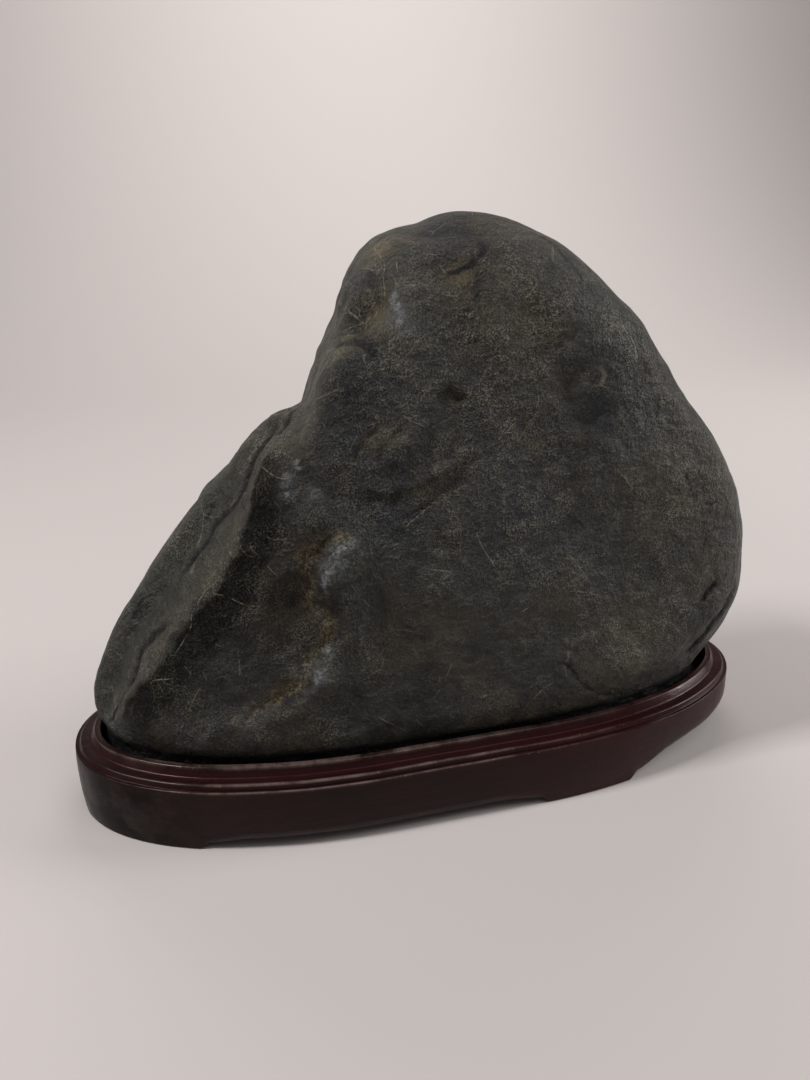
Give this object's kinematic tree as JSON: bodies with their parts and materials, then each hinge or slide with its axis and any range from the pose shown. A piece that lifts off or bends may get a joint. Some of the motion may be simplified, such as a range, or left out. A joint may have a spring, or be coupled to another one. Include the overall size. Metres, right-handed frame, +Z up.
{
  "type": "scholars rock",
  "caption": "Dark water-worn scholar's rock shaped like a mountain, resting in a low oval carved and lacquered wooden stand with a moulded rim.",
  "frame": {"origin": "on the ground under the middle of the stand", "axes": "+X along the stand towards the stone's steep shoulder, -Y towards the stone's front face, +Z up"},
  "size_m": [0.2568, 0.0988, 0.1927],
  "materials": {
    "charcoal_stone": "water-worn, faintly waxed",
    "lacquered_rosewood": "dark satin lacquer"
  },
  "bodies": {
    "root": {"stone": "charcoal_stone", "stand": "lacquered_rosewood"}
  },
  "joints": []
}
